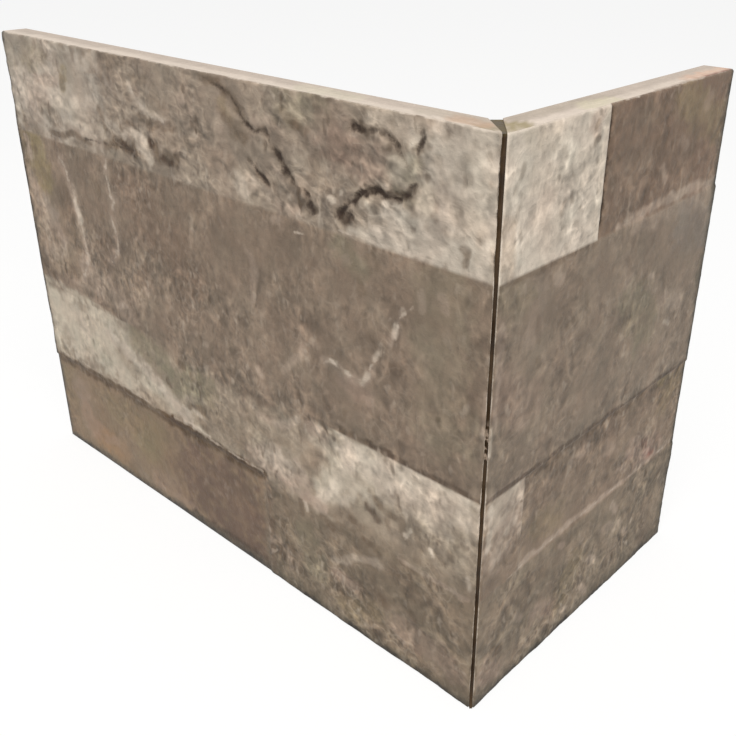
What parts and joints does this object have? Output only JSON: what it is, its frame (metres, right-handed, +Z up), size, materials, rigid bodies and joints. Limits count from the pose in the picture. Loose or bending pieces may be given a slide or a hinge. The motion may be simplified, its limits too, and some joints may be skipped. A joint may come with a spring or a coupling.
{
  "type": "stone cladding corner piece",
  "caption": "L-shaped outside-corner tile with a split-stone relief, its long and short legs mitred and bonded with dark resin.",
  "frame": {"origin": "centre of the piece's box, on the plane that its bottom edge stands on", "axes": "+Z up along the corner, +X along the long leg towards the corner, +Y from the long leg's stone face through its back; the short leg's stone face looks along +X"},
  "size_m": [0.198, 0.101, 0.15],
  "materials": {
    "stoneware": "matt, printed and pressed with split stone",
    "resin": "dark brown, satin"
  },
  "bodies": {
    "root": {"long_leg": "stoneware", "short_leg": "stoneware", "mitre_resin": "resin"}
  },
  "joints": []
}
